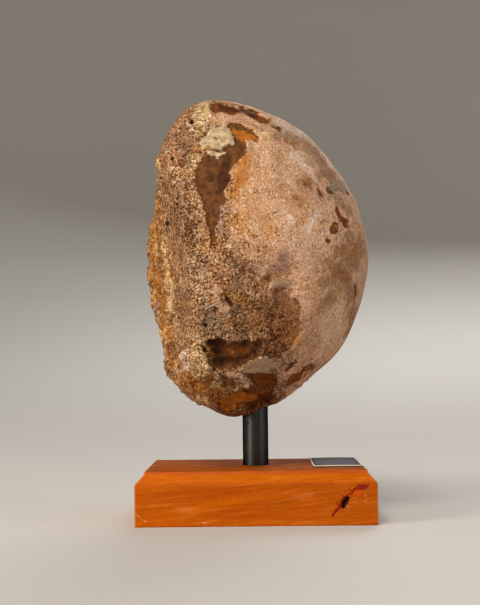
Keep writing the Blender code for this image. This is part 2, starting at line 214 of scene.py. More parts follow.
SCALES = (
    # windows: the crust has flaked off, and the brown mineral under it has a natural polish; one stroke is a
    # painted shadow line under the crust's lip
    Layer("window_and_shadow", "2c1606", "704218", 0.95, 1.5, 0.22, {
        FRONT: [
            (-20, 225.4, 2.4, -14, 224.2, 2.4, -10, 222.6, 1.5),
            (-6.5, 225, 0.8, -2, 222, 1.6, 3.4, 219.2, 2, 8, 216.8, 1.2),
            (10.5, 214.6, 0.6, 15.5, 211.8, 0.9),
            (-12.5, 213.5, 2, -8, 212, 4, -3, 210.5, 3.6, 1.5, 208, 2),
            (-6.5, 208, 3.6, -8, 202, 4.5, -16, 195.5, 6.5, -21, 190, 9, -22.5, 186, 9.3, -22.5, 180, 8,
             -22, 175, 6.5, -23, 169.5, 4.3, -22, 161, 3, -22.3, 152.5, 1.7),
            (-26.6, 95.2, 0.5, -22, 94.4, 2.2, -17.6, 94.6, 3),
            (-21, 89.5, 3, -15, 88.6, 4, -8, 90.2, 4.4, -1, 91, 4, 2.6, 93.8, 1.8),
            (-23.4, 83.4, 2, -18, 83.6, 4, -12, 84.8, 4.2, -6, 86.6, 4, 1.6, 88.6, 2.2),
            (-25.8, 87.6, 0.7, -23.6, 87, 1.4), (-20.6, 78.4, 0.7, -17.8, 76.6, 1.1),
            # the first stroke on the next line is a painted shadow line along the lip's lower edge
            (5, 88.2, 0.8, 10, 86.4, 0.8, 14.5, 87.2, 0.8), (16.8, 79.2, 1, 19.5, 81, 1.4, 22.2, 83.2, 0.8),
            (25.5, 77.8, 0.8, 30.5, 81, 1), (-4.5, 76.8, 0.6, 2, 75.2, 1.8, 8.6, 74.6, 2.8),
            (4.6, 72, 4, 9, 70.5, 3.8), (5, 69, 3.6, -1, 67.2, 3.4, -6, 65, 4.4, -13, 61.6, 5, -18, 60, 3),
            (-2, 60.5, 4, 7, 64, 3.4), (17.6, 71.6, 0.8, 23, 76.4, 1.6, 30.5, 81, 1),
            (46.2, 167.3, 0.8, 47.5, 165.3, 1.1, 49.2, 162, 1.6, 51.2, 158.4, 1.1),
            (45.6, 159.6, 1, 44.6, 156.6, 1.8, 47, 153.8, 0.7), (41.5, 150.6, 1.3)],
        BACK: [
            (4, 220, 1, -4, 214, 3, -14, 210, 4, -22, 203, 2),
            (-12, 208, 2, -10, 200, 3.4, -16, 192, 5, -13, 184, 2.6, -17, 176, 1),
            (-2, 196, 1.6, 3, 191, 0.8), (-34, 92, 2, -26, 84, 5, -16, 82, 3, -8, 76, 5, 2, 70, 5),
            (14, 72, 2, 22, 76, 3.6, 29, 83, 1.6), (40, 116, 0.6, 43, 121, 1.4, 47, 124, 0.8),
            (36, 112, 1, 37, 109, 0.6)],
        BALL: [
            (-14, 186, 0.5, -10, 183, 1, -6, 178, 1.5, -5, 174, 0.6), (-1, 180, 0.7, 1, 177, 1),
            (24, 130, 0.5, 22, 126, 1.2, 23, 121, 0.6), (15, 117, 0.9, 12, 114, 0.7),
            (-36, 122, 0.6, -33, 118, 1.1, -32, 113, 0.5)],
    }),
    # where a window lets amber mineral show through
    Layer("amber", "965214", "ca7c2c", 0.78, 2.2, 1.2, {
        FRONT: [
            (-10, 211.5, 1.5, -4, 209, 3, 1, 208, 2), (-11.8, 88.4, 1.5), (-23, 87, 1.5),
            (-15, 61.5, 4.4, -7, 62.5, 4.4, 0, 62.6, 2.6), (45, 158.6, 0.7), (-26.4, 91.6, 1.8)],
        BACK: [(-8, 212, 2, -16, 209, 2), (-14, 81, 2, 0, 71, 3)],
    }),
    # rust-brown mineral in the windows that face up or down
    Layer("rust", "4e2406", "8e4a10", 0.82, 2.4, 1, {
        FRONT: [
            (-21, 225, 2.6, -10, 223, 2.6), (-2, 222, 1.4, 9, 216.4, 1.6), (3, 73, 3.4, 9, 70.5, 3.6),
            (18, 72, 1, 23, 76.4, 2, 30.5, 81, 1.4), (0, 66, 1.6, 8, 65, 2), (-14, 91.4, 1.2, -6, 91, 1.6),
            (46.6, 166.4, 1, 49.2, 162, 1.6, 51.2, 158.6, 1), (41.5, 150.6, 1.2)],
        BACK: [(2, 218, 1.5, -6, 213, 2.5), (-6, 75, 3, 4, 69, 4, 22, 76, 3)],
        BALL: [(-9, 182, 1.4, -5, 176, 1.2), (22.6, 125, 1.4), (13.4, 115.4, 1), (-33, 117, 1.2)],
    }),
    # the thickest mineral, nearly black, and painted shadow under the crust's lips and ledges and beside the
    # curled flake
    Layer("peat_and_shadow", "200e04", "4a2208", 0.85, 1.6, 1, {
        FRONT: [
            (-24, 95, 1.8, -19, 93.6, 3.4, -20, 89, 2.4),
            (-21, 83.5, 2.6, -14, 84, 2.8, -6, 84.5, 2.5, 0, 87.5, 1.6), (-5, 93, 1.5),
            (-13, 198, 2, -15.5, 188, 3, -17, 178, 2), (-4, 77, 0.7, 7, 77, 0.7),
            (-17.5, 225.8, 1.2, 1, 220.5, 1.2), (11, 124.2, 0.7, 19.5, 123.8, 0.7, 24, 116.5, 0.6),
            (-15.5, 119.5, 0.9, -12.8, 116, 0.9), (7.5, 129.5, 1.4)],
        BACK: [(-16, 194, 2.5, -14, 184, 1.5), (-27, 85, 2.5, -8, 78, 2.5)],
    }),
    # smooth grey-tan scale
    Layer("ash", "82664a", "ae8e6e", 0.88, 1.2, 0.3, {
        FRONT: [
            (-8, 79.8, 1, -1, 81, 3.2, 5.5, 83, 3.8, 12.5, 82.4, 2.4), (-7, 73.5, 1, -4.4, 72, 1.5),
            (12.6, 127.2, 1.6, 16.5, 128, 2.2, 18.6, 127, 1.4)],
        BACK: [(-10, 90, 1.5, -3, 92, 2.5, 4, 90, 1.5)],
        BALL: [(10, 90, 1.5, 17, 93, 2.5, 20, 98, 1)],
    }),
    # loose curled flakes and thin pale rims
    Layer("flake", "a67c5c", "d4ac88", 0.92, 0.5, 0.22, {
        FRONT: [
            (-21.3, 124, 1.5, -18.4, 123.4, 1.1),
            (-20.6, 121, 1.6, -19.6, 117, 1.9, -18, 113.6, 1.8, -15.4, 112.4, 1.5, -13.9, 114.4, 1),
            (-25.6, 82, 0.5, -22.4, 79.4, 0.6, -19.2, 76.6, 0.6, -21, 74.8, 0.4),
            (-17.8, 162, 0.5, -17.4, 154, 0.4), (-2, 76.6, 0.5, 4, 77.4, 0.5, 9, 78.4, 0.4),
            (-13.4, 77.4, 1.4, -8, 77, 1.2, -5.6, 74, 1.4, -4.2, 70.5, 0.9)],
        BACK: [(-22.4, 118.6, 1, -20.4, 113.4, 1.3, -17, 110, 1)],
    }),
    # chalky scale that sits on top of the crust
    Layer("chalk", "8e785a", "cab28c", 0.95, 1.9, 0.25, {
        FRONT: [
            (-27, 204, 2.2, -21.5, 209, 4.6, -16, 210.5, 4.4, -13, 207, 3.2, -17, 204.5, 2.4,
             -22, 204.5, 3), (-23.4, 199.6, 0.8, -19.4, 198.8, 1.5, -15.4, 199.8, 0.9),
            (-19.6, 197.4, 1.2)],
        BACK: [
            (-27, 208, 2, -24, 199, 3.4, -27, 192, 2), (-22, 188, 1), (2, 86, 1, 9, 83, 2.6, 16, 84, 1.4)],
    }),
    # round holes that run deep, painted near-black as the shade inside them
    Layer("pinhole_shade", "120804", "2c160a", 0.95, 0.3, 0.25, {
        FRONT: [
            (-47.6, 160.6, 1.4), (-33.1, 217.1, 1.2), (-44.4, 196.9, 0.8), (-42.1, 171.6, 0.7),
            (-27.2, 90.4, 1.1), (-22.3, 79.9, 1), (-29, 140, 0.8), (-26.5, 104.6, 1)],
        BACK: [(-36, 150, 1.3), (-30, 168, 0.9)],
        GROWTH: [(12, 168, 1.7), (-12, 158, 1.4), (34, 132, 1.9), (2, 108, 1.5), (-30, 186, 1.3)],
    }),
    # painted shade: cracks, and hollows in the shadow of a loose flake, coloured dark
    Layer("relief_shading", "28140a", "5c3a22", 0.8, 0.5, 0.35, {
        FRONT: [
            (-15.3, 120.6, 0.7, -13.9, 117.4, 0.9, -12.4, 115, 0.6), (-20.6, 113.6, 0.8),
            (-25.6, 205.4, 0.5), (-21, 208.4, 0.3, -19.4, 207.4, 0.5), (-15.4, 206.2, 0.4),
            (-22.6, 211.2, 0.4), (-18.4, 204.6, 0.6),
            (-23.4, 201.6, 0.45, -17, 200.8, 0.6, -14, 201.6, 0.3), (-29.6, 93.6, 0.8, -27.4, 91.8, 1),
            (2, 92, 0.5, 7.5, 90.8, 0.4), (41.6, 179.4, 0.6, 42.4, 177.2, 0.9, 44.3, 176.8, 0.5),
            (36, 179.4, 0.5, 37.9, 175.6, 0.6), (52.4, 176.6, 0.8, 53.6, 175.8, 0.6), (29.6, 182, 0.7),
            (-5, 77.3, 0.35, 4, 77.6, 0.5, 9, 77.2, 0.3)],
        BACK: [(-24, 118, 0.7, -22, 113, 0.9), (-22, 190.2, 0.4, -26, 189.6, 0.4)],
        BALL: [(20, 155, 0.4, 24, 150, 0.4)],
    }),
)
# Where the crust has broken away in a deep step, and where it is craggy.
SCARS = {
    FRONT: [
        (-25, 95, 0.9, -19, 93.4, 3, -12, 91, 4.2, -3, 92.2, 3.2, 1, 90, 2.4),
        (-22, 88, 2.8, -19, 85.6, 3.6, -12, 85, 3.8, -4, 87, 3.4), (-1.5, 75, 2.5, 6, 72, 5, 12, 70.5, 4),
        (-14.8, 61.2, 3, 0.5, 61, 4, 9.3, 64.2, 2)],
    BACK: [(-34, 92, 2, -26, 84, 5, -8, 76, 5, 2, 70, 5)],
}
CRAGS = {
    FRONT: [(-40, 80, 5, -30, 70, 8, -12, 70, 8, 8, 64, 8, 26, 74, 4), (-44, 110, 5, -38, 90, 5)],
    BACK: [(-20, 72, 8, 10, 66, 9, 34, 80, 6)],
    GROWTH: [(-50, 90, 8, 0, 66, 9, 50, 96, 8)],
}
# The larger holes in the spongy bone: across, height and radius.
PITS = {
    FRONT: [
        (-33.1, 217.1, 1.1), (-44.4, 196.9, 0.9), (-42.1, 171.6, 0.9), (-47.5, 161.2, 1.3),
        (-47, 156.8, 0.9), (-27.2, 89.8, 1.3), (-22.3, 79.9, 1.3), (-26.5, 104.6, 1.1)],
    BACK: [(-36, 150, 1.5)],
    GROWTH: [(12, 168, 2.2), (-12, 158, 1.8), (34, 132, 2.4), (-30, 186, 1.8), (2, 108, 2)],
}
LAYERS = (*STAINS, *SCALES)

# Washes of colour all over the bone: how wide they are in millimetres, which part of the noise they
# take, their colour, how strong they are, and what kind of surface they lie on.
Wash = namedtuple("Wash", "width start end colour strength zone")
WASHES = (
    Wash(46, 0.46, 0.58, "b0783e", 0.36, "crust"),
    Wash(34, 0.48, 0.60, "cea684", 0.42, "crust"),
    Wash(24, 0.50, 0.66, "8a5a34", 0.45, "everywhere"),
    Wash(14, 0.50, 0.62, "cca282", 0.48, "crust"),
    Wash(12, 0.56, 0.64, "b8803e", 0.50, "everywhere"),
    Wash(8, 0.55, 0.66, "82705a", 0.50, "everywhere"),
    Wash(4.5, 0.56, 0.66, "8a4a20", 0.50, "everywhere"),
    Wash(3.5, 0.58, 0.66, "dcc29c", 0.50, "everywhere"),
    Wash(2.4, 0.54, 0.64, "8e6444", 0.40, "crust"),
    Wash(2, 0.55, 0.64, "e4ceb4", 0.42, "crust"),
    Wash(26, 0.50, 0.58, "7e5232", 0.55, "growth"),
    Wash(10, 0.50, 0.58, "62402e", 0.60, "growth"),
    Wash(7, 0.52, 0.60, "d4aa6c", 0.65, "growth"),
    Wash(3.2, 0.53, 0.60, "6a3e26", 0.60, "growth"),
    Wash(2.4, 0.56, 0.62, "ecd09c", 0.60, "growth"),
)


class BoneSettings(bpy.types.PropertyGroup):
    """The fossil bone's mesh, relief and colours."""

    mesh_step: FloatProperty(
        name="Mesh step", description="Size of the fine mesh's squares", default=0.00108, min=0.0008,
        max=0.004, unit="LENGTH")
    smoothing: IntProperty(
        name="Smoothing", description="Passes that melt the coarse facets together", default=26, min=0,
        max=80)
    crust_depth: FloatProperty(
        name="Crust thickness", description="How far a window lies under the crust", default=0.0006, min=0,
        max=0.003, unit="LENGTH")
    scar_depth: FloatProperty(
        name="Scar depth", description="How deep the crust has broken away", default=0.0027, min=0,
        max=0.004, unit="LENGTH")
    spongy_relief: FloatProperty(
        name="Spongy relief", description="Height of the lumps in spongy bone", default=0.0007, min=0,
        max=0.003, unit="LENGTH")
    random_pits: IntProperty(
        name="Small pits", description="Pits strewn over the spongy bone", default=130, min=0, max=400)
    spongy_colour: FloatVectorProperty(
        name="Spongy bone", description="Open, weathered inner bone", subtype="COLOR",
        default=linear("a07a57"), min=0, max=1)
    crust_colour: FloatVectorProperty(
        name="Bearing surface", description="The smooth outer crust", subtype="COLOR",
        default=linear("bb916e"), min=0, max=1)
    growth_colour: FloatVectorProperty(
        name="Growth face", description="The rough side that faced the shaft", subtype="COLOR",
        default=linear("986c42"), min=0, max=1)


class StandSettings(bpy.types.PropertyGroup):
    """The wooden base, the rod and the label."""

    slope_run: FloatProperty(
        name="Slope run", description="How far the base's sloping edge comes in", default=0.0047, min=0.001,
        max=0.01, unit="LENGTH")
    slope_rise: FloatProperty(
        name="Slope rise", description="How high the sloping edge is", default=0.0050, min=0.001, max=0.01,
        unit="LENGTH")
    top_step: FloatProperty(
        name="Top step", description="The small upright step above the slope", default=0.0014, min=0.0002,
        max=0.004, unit="LENGTH")
    edge_rounding: FloatProperty(
        name="Edge rounding", description="How far the wood's edges are sanded", default=0.0007, min=0.0001,
        max=0.002, unit="LENGTH")
    wood_colour: FloatVectorProperty(
        name="Wood", description="Lacquered heartwood", subtype="COLOR", default=linear("a44c00"), min=0,
        max=1)
    rod_colour: FloatVectorProperty(
        name="Rod", description="Blackened steel", subtype="COLOR", default=linear("3a3938"), min=0, max=1)
    label_crown: FloatProperty(
        name="Label crown", description="How far the label's middle lifts", default=0.0004, min=0,
        max=0.0008, unit="LENGTH")
    label_colour: FloatVectorProperty(
        name="Label", description="Silver-grey middle of the label", subtype="COLOR",
        default=linear("524e54"), min=0, max=1)


class StudioSettings(bpy.types.PropertyGroup):
    """The camera, lights and floor."""

    eye: FloatVectorProperty(
        name="Camera", description="Where the camera stands", subtype="TRANSLATION", default=tuple(part * MM
        for part in SIDES[FRONT].eye))
    pitch: FloatProperty(
        name="Pitch", description="How far the camera looks up", subtype="ANGLE",
        default=math.radians(2.524))
    turn: FloatProperty(
        name="Turn", description="How far the camera is turned left", subtype="ANGLE",
        default=math.radians(0.638))
    roll: FloatProperty(
        name="Roll", description="How far the camera leans", subtype="ANGLE", default=math.radians(-0.629))
    lens: FloatProperty(
        name="Lens", description="Focal length on a 36 mm sensor, in millimetres", default=80.64, min=20,
        max=200)
    floor_colour: FloatVectorProperty(
        name="Floor", description="Plain pale floor", subtype="COLOR", default=linear("c6c2bc"), min=0,
        max=1)
    surround: FloatProperty(
        name="Surround", description="Strength of the light from all round", default=0.22, min=0, max=2)


# What a node can be: its type, the inputs that are given in turn, the output that is used, its settings.
# ease is a range with an S-shaped curve, blend mixes two colours, and tint multiplies them.
Kind = namedtuple("Kind", "type inputs output settings")
RANGE = ("Value", "From Min", "From Max", "To Min", "To Max")
MATHS = ("add", "subtract", "multiply", "multiply_add", "minimum", "maximum", "absolute")
KINDS = {
    "place": Kind("TexCoord", (), "Object", {}),
    "normal": Kind("NewGeometry", (), "Normal", {}),
    "attribute": Kind("Attribute", (), "Fac", {}),
    "colours": Kind("Attribute", (), "Color", {}),
    "shift": Kind("Mapping", ("Vector", "Location"), "Vector", {}),
    "turn": Kind("Mapping", ("Vector", "Rotation"), "Vector", {}),
    "stretch": Kind("Mapping", ("Vector", "Scale"), "Vector", {}),
    "noise": Kind("TexNoise", ("Vector", "Scale", "Detail", "Roughness", "Distortion"), "Fac", {}),
    "range": Kind("MapRange", RANGE, "Result", {}),
    "ease": Kind("MapRange", RANGE, "Result", {"interpolation_type": "SMOOTHSTEP"}),
    "mix": Kind("Mix", (0, 2, 3), "Result", {"data_type": "FLOAT"}),
    "blend": Kind("Mix", (0, 6, 7), 2, {"data_type": "RGBA"}),
    "tint": Kind("Mix", (0, 6, 7), 2, {"data_type": "RGBA", "blend_type": "MULTIPLY"}),
    "bump": Kind("Bump", ("Strength", "Distance", "Height"), "Normal", {}),
    "surface": Kind("BsdfPrincipled", ("Base Color", "Roughness", "Specular IOR Level", "Normal", "Metallic",
                                       "Specular Tint"), "BSDF", {}),
    "output": Kind("OutputMaterial", ("Surface",), "", {}),
    **{axis: Kind("SeparateXYZ", ("Vector",), axis, {}) for axis in "XYZ"},
    **{name: Kind("Math", (0, 1, 2), "Value", {"operation": name.upper()}) for name in MATHS},
}


def add_node(tree, kind, *values, **settings):
    """Adds a node with its settings and hands back its output. Each value is for the next of its inputs:
    a number, a hex colour, another node's output, or None to leave that input alone."""
    kind = KINDS[kind]
    made = tree.nodes.new("ShaderNode" + kind.type)
    for name, value in {**kind.settings, **settings}.items():
        setattr(made, name, value)
    for key, value in zip(kind.inputs, values):
        if isinstance(value, bpy.types.NodeSocket):
            tree.links.new(value, made.inputs[key])
        elif value is not None:
            made.inputs[key].default_value = opaque(linear(value)) if isinstance(value, str) else value
    return made.outputs[kind.output] if kind.output else made


def new_material(name):
    """An empty node material, and what adds a node to it."""
    finish = bpy.data.materials.new(name)
    finish.use_nodes = True
    finish.node_tree.nodes.clear()
    return finish, partial(add_node, finish.node_tree)


def opaque(colour):
    return (*colour[:3], 1.0)


def put_in_scene(name, data):
    thing = bpy.data.objects.new(name, data)
    bpy.context.scene.collection.objects.link(thing)
    return thing


def object_from(name, shape, finish):
    """Makes a smooth object from a bmesh, with its material."""
    mesh = bpy.data.meshes.new(name)
    shape.to_mesh(mesh)
    shape.free()
    mesh.materials.append(finish)
    mesh.shade_smooth()
    return put_in_scene(name, mesh)


def finish_piece(name, shape, finish, replaced, sharp=None):
    """Makes the piece's object, and ties it to the frame. Edges are sharp past so many degrees."""
    piece = object_from(name, shape, finish)
    if sharp:
        piece.data.set_sharp_from_angle(angle=math.radians(sharp))
    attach(piece, "root")
    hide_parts(replaced)
    return piece


def cut_across(shape, axis, place):
    """Cuts the whole shape with a plane square to an axis."""
    where, way = Vector((0, 0, 0)), Vector((0, 0, 0))
    where[axis], way[axis] = place, 1.0
    everything = [*shape.verts, *shape.edges, *shape.faces]
    bmesh.ops.bisect_plane(shape, geom=everything, plane_co=where, plane_no=way)


def turn_round(profile):
    """A closed or open shape turned from a line of (radius, height) about the upright axis."""
    shape = bmesh.new()
    corners = [shape.verts.new((across, 0, height)) for across, height in profile]
    line = [shape.edges.new(pair) for pair in pairwise(corners)]
    bmesh.ops.spin(shape, geom=[*corners, *line], cent=(0, 0, 0), axis=(0, 0, 1), angle=math.tau, steps=96,
                   use_merge=True)
    bmesh.ops.remove_doubles(shape, verts=shape.verts, dist=TOUCHING)
    bmesh.ops.recalc_face_normals(shape, faces=shape.faces)
    return shape


# ---------------------------------------------------------------- the bone

def fine_bone(mesh_step, smoothing):
    """The bone's coarse solid as an even, fine mesh with its facets melted together."""
    merged = bmesh.new()
    merged.from_mesh(bpy.data.objects["femoral_head"].data)
    bmesh.ops.remove_doubles(merged, verts=merged.verts, dist=TOUCHING)
    mesh = bpy.data.meshes.new("bone_cage")
    merged.to_mesh(mesh)
    merged.free()
    cage = put_in_scene("bone_cage", mesh)
    remesh = cage.modifiers.new("even mesh", "REMESH")
    remesh.mode = "VOXEL"
    remesh.voxel_size = mesh_step
    evaluated = cage.evaluated_get(bpy.context.evaluated_depsgraph_get())
    shape = bmesh.new()
    shape.from_mesh(evaluated.to_mesh())
    evaluated.to_mesh_clear()
    bpy.data.objects.remove(cage)
    for _ in range(smoothing):
        bmesh.ops.smooth_vert(shape, verts=shape.verts, factor=0.5, use_axis_x=True, use_axis_y=True,
                              use_axis_z=True)
    return shape


def ease(values, start, end):
    """0 at start, 1 at end, with an S-shaped curve between them."""
    share = np.clip((values - start) / (end - start), 0.0, 1.0)
    return share * share * (3 - 2 * share)


def lumps(points, size, octaves=3, shift=0.0):
    """Fractal noise at each point, about -1 to 1, with lumps of this size in millimetres."""
    offset = Vector((shift, shift * 1.7, -shift))
    return np.array([noise.fractal(Vector(point) / size + offset, 1.0, 2.0, octaves) for point in points])


def look_from(side, points, normals):
    """Where a side's eye sees each point, and how squarely the surface there faces it."""
    sight = points - side.eye
    plane = side.eye + sight * (-side.eye[side.deep] / sight[:, side.deep])[:, None]
    facing = -(normals * sight).sum(axis=1) / np.linalg.norm(sight, axis=1)
    return np.column_stack([plane @ side.across, plane[:, 2]]), facing


def depth_in_strokes(flat, strokes):
    """How far each flat point lies inside any of these strokes, and below zero outside."""
    depth = np.full(len(flat), -FAR)
    for stroke in strokes:
        path = np.reshape(stroke, (-1, 3)).astype(float)
        for start, end in pairwise(path if len(path) > 1 else (*path, *path)):
            run = end[:2] - start[:2]
            share = np.clip((flat - start[:2]) @ run / max(run @ run, 1e-9), 0.0, 1.0)
            away = np.linalg.norm(flat - start[:2] - share[:, None] * run, axis=1)
            depth = np.maximum(depth, start[2] + (end[2] - start[2]) * share - away)
    return depth


# A mark ends where the bone faces its side's eye less squarely than this, over so many millimetres.
LEAST_FACING, TURNING_AWAY = 0.10, 60.0


def depth_inside(looks, marks):
    """How far each point of the bone lies inside the marks, in millimetres, and below zero outside."""
    depth = np.full(len(looks[FRONT][0]), -FAR)
    for side, strokes in marks.items():
        flat, facing = looks[side]
        turned_away = np.clip(LEAST_FACING - facing, 0, 1) * TURNING_AWAY
        depth = np.maximum(depth, depth_in_strokes(flat, strokes) - turned_away)
    return depth


# Heights in millimetres, and how far across the crust begins and the growth face ends at each.
CRUST_EDGE = (60, 90, 112, 135, 160, 205, 228), (16, 20, 16, -2, -14, -16, -24)
GROWTH_EDGE = ((66, 74, 93, 112, 129, 140, 151, 165, 177, 192),
               (-60, -46, -43, -42, -43.5, -47.5, -50, -51.2, -53, -60))


def crust_share(points, waves):
    """1 on the smooth bearing surface and 0 on the open spongy bone beside the growth face. The edge
    wanders by 9 mm either way and takes 16 mm to change."""
    edge = np.interp(points[:, 2], *CRUST_EDGE)
    return ease(points[:, 0] - edge + waves * 9.0, -7.0, 9.0)


def growth_share(points, normals, looks, waves):
    """1 on the rough face that met the shaft, and 0 elsewhere, and the same for the groove that runs
    3.4 mm inside its rim. Behind the rim, the face is what looks squarely away from the ball."""
    seen = np.where(points[:, 1] < 0, looks[FRONT][0][:, 0], looks[BACK][0][:, 0])
    edge = np.interp(points[:, 2], *GROWTH_EDGE)
    rim = ease(edge - seen + 0.6 * waves, -0.5, 0.8)
    facing = np.maximum(looks[FRONT][1], looks[BACK][1] * 0.4)
    turned = ease(-normals[:, 0] + 0.05 * waves, 0.88, 0.97) * ease(-points[:, 0], 26.0, 38.0)
    seam = np.exp(-((edge - seen - 3.4 + 0.8 * waves) / 0.5) ** 2) * ease(facing, 0.0, 0.2)
    return np.maximum(rim, turned * ease(-facing, -0.25, -0.05)), seam


# The small pits: the seed of their places, and their radius in millimetres. A pit is 1.5 radii deep.
PIT_SEED, PIT_RADII, PIT_STEEPNESS = 7, (0.5, 1.1), 1.5


def strew_pits(points, looks, spongy, count):
    """How deep each point lies in a pit, in millimetres: those of the table, and small ones at random."""
    draw = np.random.default_rng(PIT_SEED)
    chosen = draw.choice(len(points), size=count, replace=False, p=spongy / spongy.sum())
    pits = [(points[index], draw.uniform(*PIT_RADII)) for index in chosen]
    for side, holes in PITS.items():
        flat, facing = looks[side]
        for across, height, radius in holes:
            away = np.linalg.norm(flat - (across, height), axis=1)
            pits.append((points[np.argmin(away + (facing < LEAST_FACING / 2) * FAR)], radius))
    depth = np.zeros(len(points))
    for centre, radius in pits:
        away = np.linalg.norm(points - centre, axis=1)
        depth = np.maximum(depth, PIT_STEEPNESS * radius * np.exp(-(away / radius) ** 2))
    return depth


def blend(under, colour, share):
    return under + (np.array(colour) - under) * share[:, None]


def write_attribute(mesh, name, values):
    attribute = mesh.attributes.new(name, "FLOAT", "POINT")
    attribute.data.foreach_set("value", values.astype(np.float32))


# How far these layers stand above the crust, or lie below it, in millimetres, and the lip round a window.
LIFTS = {"chalk": 0.45, "ash": 0.5, "flake": 0.9, "sunken": -0.7, "relief_shading": -0.8}
WINDOW_LIP = 0.35
# How far in and out of a mark its depth is kept on the mesh, in millimetres.
KEPT_DEPTH = 8


def dress_bone(settings):
    """The bone's relief as real shape, with what the finish needs to know kept as attributes."""
    shape = fine_bone(settings.mesh_step, settings.smoothing)
    shape.normal_update()
    points = np.array([vert.co for vert in shape.verts]) / MM
    normals = np.array([vert.normal for vert in shape.verts])
    looks = {name: look_from(side, points, normals) for name, side in SIDES.items()}

    # noise in lumps of 16, 2.6, 4.2 and 7 mm
    broad, fine = lumps(points, 16.0), lumps(points, 2.6, 2, 9.0)
    wander, knobs = lumps(points, 4.2, 3, 3.0), lumps(points, 7.0, 3, 21.0)
    crust = crust_share(points, broad)
    growth, seam = growth_share(points, normals, looks, wander)
    crust = crust * (1 - growth)
    spongy = (1 - crust) * (1 - growth)

    depth = {layer.name: depth_inside(looks, layer.marks) + wander * min(layer.ragged, 1.6)
             for layer in LAYERS}
    inside = {name: ease(values, -0.4, 0.4) for name, values in depth.items()}
    scar = ease(depth_inside(looks, SCARS) + wander * 1.2, -0.5, 0.6)
    craggy = ease(depth_inside(looks, CRAGS) + wander * 3.0, -3.0, 3.0)
    covered = np.clip(sum(inside[name] for name in ("window_and_shadow", "chalk", "ash", "flake")), 0, 1)
    bare = 1 - covered
    pits = strew_pits(points, looks, spongy * bare + growth * 0.3, settings.random_pits)

    # the relief, in millimetres; the growth face's winding furrows are about 10 mm apart
    relief = settings.spongy_relief / MM
    furrow = ease(-np.abs(lumps(points, 15.0, 2, 33.0)), -0.13, -0.02)
    height = spongy * bare * relief * (0.7 * knobs + 0.5 * fine)
    height += crust * bare * relief * (0.16 * knobs + 0.05 * fine)
    face = growth * ease(-normals[:, 0], 0.80, 0.96)
    height += growth * relief * (knobs + 0.45 * fine)
    height += face * (0.6 + 1.1 * knobs + 0.3 * fine - 2.4 * furrow) - 0.5 * seam
    height += craggy * bare * (1.6 * knobs + 0.6 * fine)
    height -= inside["window_and_shadow"] * settings.crust_depth / MM
    height -= scar * settings.scar_depth / MM
    lip = np.exp(-((depth["window_and_shadow"] + 1.2) / 0.9) ** 2) * (1 - inside["window_and_shadow"])
    height += WINDOW_LIP * lip + sum(lift * inside[name] for name, lift in LIFTS.items()) - pits

    # the ground colour, with the relief's light and shade painted in: darker in hollows, furrows, the groove
    # and pits, lighter on the knobs
    colour = blend(np.tile(settings.spongy_colour, (len(points), 1)), settings.crust_colour, crust)
    colour = blend(colour, settings.growth_colour, growth)
    relief_shading = spongy * (0.7 * knobs + 0.5 * fine) + growth * (0.6 * fine + 0.7 * knobs - 1.6 * face * furrow)
    relief_shading += 1.2 * craggy * (0.5 * knobs + 0.7 * fine) - 2.2 * seam * ease(broad + wander, -0.5, 0.3)
    colour = colour * (1 + 0.10 * broad + 0.22 * relief_shading)[:, None]
    colour = np.clip(colour * (1 - 0.8 * np.clip(pits / 1.2, 0, 1))[:, None], 0, 1)

    for vert, lift, normal in zip(shape.verts, height, normals):
        vert.co += Vector(normal) * lift * MM
    piece = finish_piece("fossil_bone", shape, bone_material(), "femoral_head")
    for name, values in depth.items():
        write_attribute(piece.data, name, np.clip(values, -KEPT_DEPTH, KEPT_DEPTH))
    for name, values in (("crust", crust), ("growth", growth), ("craggy", craggy),
                         ("everywhere", np.ones(len(points)))):
        write_attribute(piece.data, name, values)
    tone = piece.data.attributes.new("tone", "FLOAT_COLOR", "POINT")
    colours = np.column_stack([colour, np.ones(len(colour))])
    tone.data.foreach_set("color", colours.astype(np.float32).ravel())


# The noise runs from about 0.3 to 0.7, so it is stretched to move an edge by its raggedness.
RAG_STRETCH = 2.5
# What the grain multiplies the colour by, as painted shade in its hollows and painted light on its tips, and
# the painted shade of a pore.
GRAIN_SHADES = (0.50, 0.34, 0.17, 1), (1.55, 1.69, 1.90, 1)
PORE_SHADE, PORE_STRENGTH = (0.36, 0.19, 0.05, 1), 0.85
# The height of each part of the fine relief, as a share of its whole depth.
RELIEF_DEPTH = 1.5 * MM
PORE_RELIEF, GRAIN_RELIEF, WINDOW_RELIEF, CHALK_RELIEF = -0.45, 0.30, -0.28, 0.20


